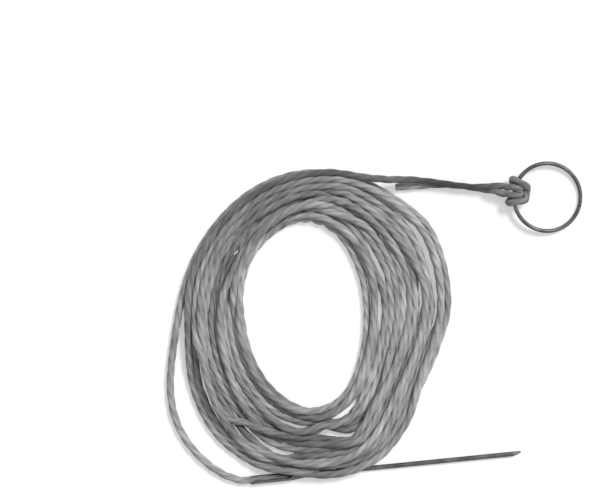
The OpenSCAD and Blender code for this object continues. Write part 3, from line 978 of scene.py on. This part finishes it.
class STRINGER_OT_cord(Operator):
    """Lays the whole cord, settles it and makes the needle's end, the coil, the ring's end,
    the hitch and the cut tail as one run of twisted cord."""

    bl_idname = "stringer.cord"
    bl_label = "Cord"

    def execute(self, context):
        look = context.scene.stringer_cord
        line, back = lay_cord(look)
        cord, ring_end, knot_end = whole_cord(line, hitch_line(), back, look)
        s = cord.s
        coil_start = along(NEEDLE_ROUTE * MM)[-1] + NEEDLE_CORD_EXTRA * MM
        coil_pieces = [node for _, node in CORD_PIECES].count("cord_coil")
        coil_cuts = np.linspace(coil_start, s[ring_end] - RING_CORD_L * MM, coil_pieces + 1)
        cuts = [0.0, *coil_cuts, s[ring_end], s[knot_end], s[-1]]
        index = [int(np.abs(s - cut).argmin()) for cut in cuts]
        mat = cord_material(look)
        for (name, node), a, b in zip(CORD_PIECES, index[:-1], index[1:]):
            piece = twisted_cord(name, cord, a, b, look.lay)
            piece.data.materials.append(mat)
            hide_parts(node)
            if name == "hitch_cord":
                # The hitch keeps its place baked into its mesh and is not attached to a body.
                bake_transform(piece)
                continue
            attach(piece, "stringer")
        return {"FINISHED"}


class STRINGER_OT_metal(Operator):
    """Gives the needle and the ring their steel finishes: drawn lines along the needle, and
    fine even grain on the ring."""

    bl_idname = "stringer.metal"
    bl_label = "Needle and ring"

    def execute(self, context):
        look = context.scene.stringer_steel
        for node, grain in (("needle", NEEDLE_GRAIN), ("ring", RING_GRAIN)):
            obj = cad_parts[node]
            obj.data.materials.clear()
            obj.data.materials.append(steel_material(node + "_steel", look, grain))
        return {"FINISHED"}


class STRINGER_OT_stage(Operator):
    """Pale floor that keeps a soft shadow, even light all round and one soft lamp from the
    upper right."""

    bl_idname = "stringer.stage"
    bl_label = "Stage"

    def execute(self, context):
        look = context.scene.stringer_stage
        mat, add, m = new_material("pale_floor")
        diffuse = add("BsdfDiffuse", {"Color": opaque(look.floor)})
        glow = add("Emission", {"Strength": m("MULTIPLY", seen(add, m), look.glow)})
        both = add("AddShader", {0: diffuse.outputs[0], 1: glow.outputs[0]})
        add("OutputMaterial", {"Surface": both.outputs[0]})
        mesh = bpy.data.meshes.new("floor")
        r = FLOOR_HALF
        mesh.from_pydata([(-r, -r, 0), (r, -r, 0), (r, r, 0), (-r, r, 0)], [], [(0, 1, 2, 3)])
        mesh.materials.append(mat)
        floor = bpy.data.objects.new("floor", mesh)
        context.scene.collection.objects.link(floor)

        world = bpy.data.worlds.new("studio")
        world.use_nodes = True
        add, m = node_makers(world.node_tree)
        level = add("MapRange", {"Value": seen(add, m), "To Min": look.sky, "To Max": 1.0})
        sky = add("Background", {"Color": (1, 1, 1, 1), "Strength": level.outputs[0]})
        add("OutputWorld", {"Surface": sky.outputs[0]})
        context.scene.world = world

        lamp = bpy.data.lights.new("key", "SUN")
        lamp.energy = look.key
        lamp.angle = look.key_width
        obj = bpy.data.objects.new("key", lamp)
        obj.rotation_euler = look.key_turn
        context.scene.collection.objects.link(obj)
        context.scene.view_settings.view_transform = "Standard"
        return {"FINISHED"}


class STRINGER_PT_panel(Panel):
    """The sizes and colours of each group, and a button for each step."""

    bl_idname = "STRINGER_PT_panel"
    bl_label = "Fish stringer"
    bl_space_type = "VIEW_3D"
    bl_region_type = "UI"
    bl_category = "Stringer"

    def draw(self, context):
        scene = context.scene
        for group in (scene.stringer_cord, scene.stringer_steel, scene.stringer_stage):
            box = self.layout.box()
            for key in group.__annotations__:
                box.prop(group, key)
        for name in STEPS:
            self.layout.operator("stringer." + name)


STEPS = ["camera", "cord", "metal", "stage"]
CLASSES = [
    CordLook,
    SteelLook,
    StageLook,
    STRINGER_OT_camera,
    STRINGER_OT_cord,
    STRINGER_OT_metal,
    STRINGER_OT_stage,
    STRINGER_PT_panel,
]


def register():
    for cls in CLASSES:
        bpy.utils.register_class(cls)
    bpy.types.Scene.stringer_cord = PointerProperty(type=CordLook)
    bpy.types.Scene.stringer_steel = PointerProperty(type=SteelLook)
    bpy.types.Scene.stringer_stage = PointerProperty(type=StageLook)


def unregister():
    del bpy.types.Scene.stringer_stage
    del bpy.types.Scene.stringer_steel
    del bpy.types.Scene.stringer_cord
    for cls in reversed(CLASSES):
        bpy.utils.unregister_class(cls)


def main():
    register()
    for name in STEPS:
        getattr(bpy.ops.stringer, name)()


if __name__ == "__main__":
    main()
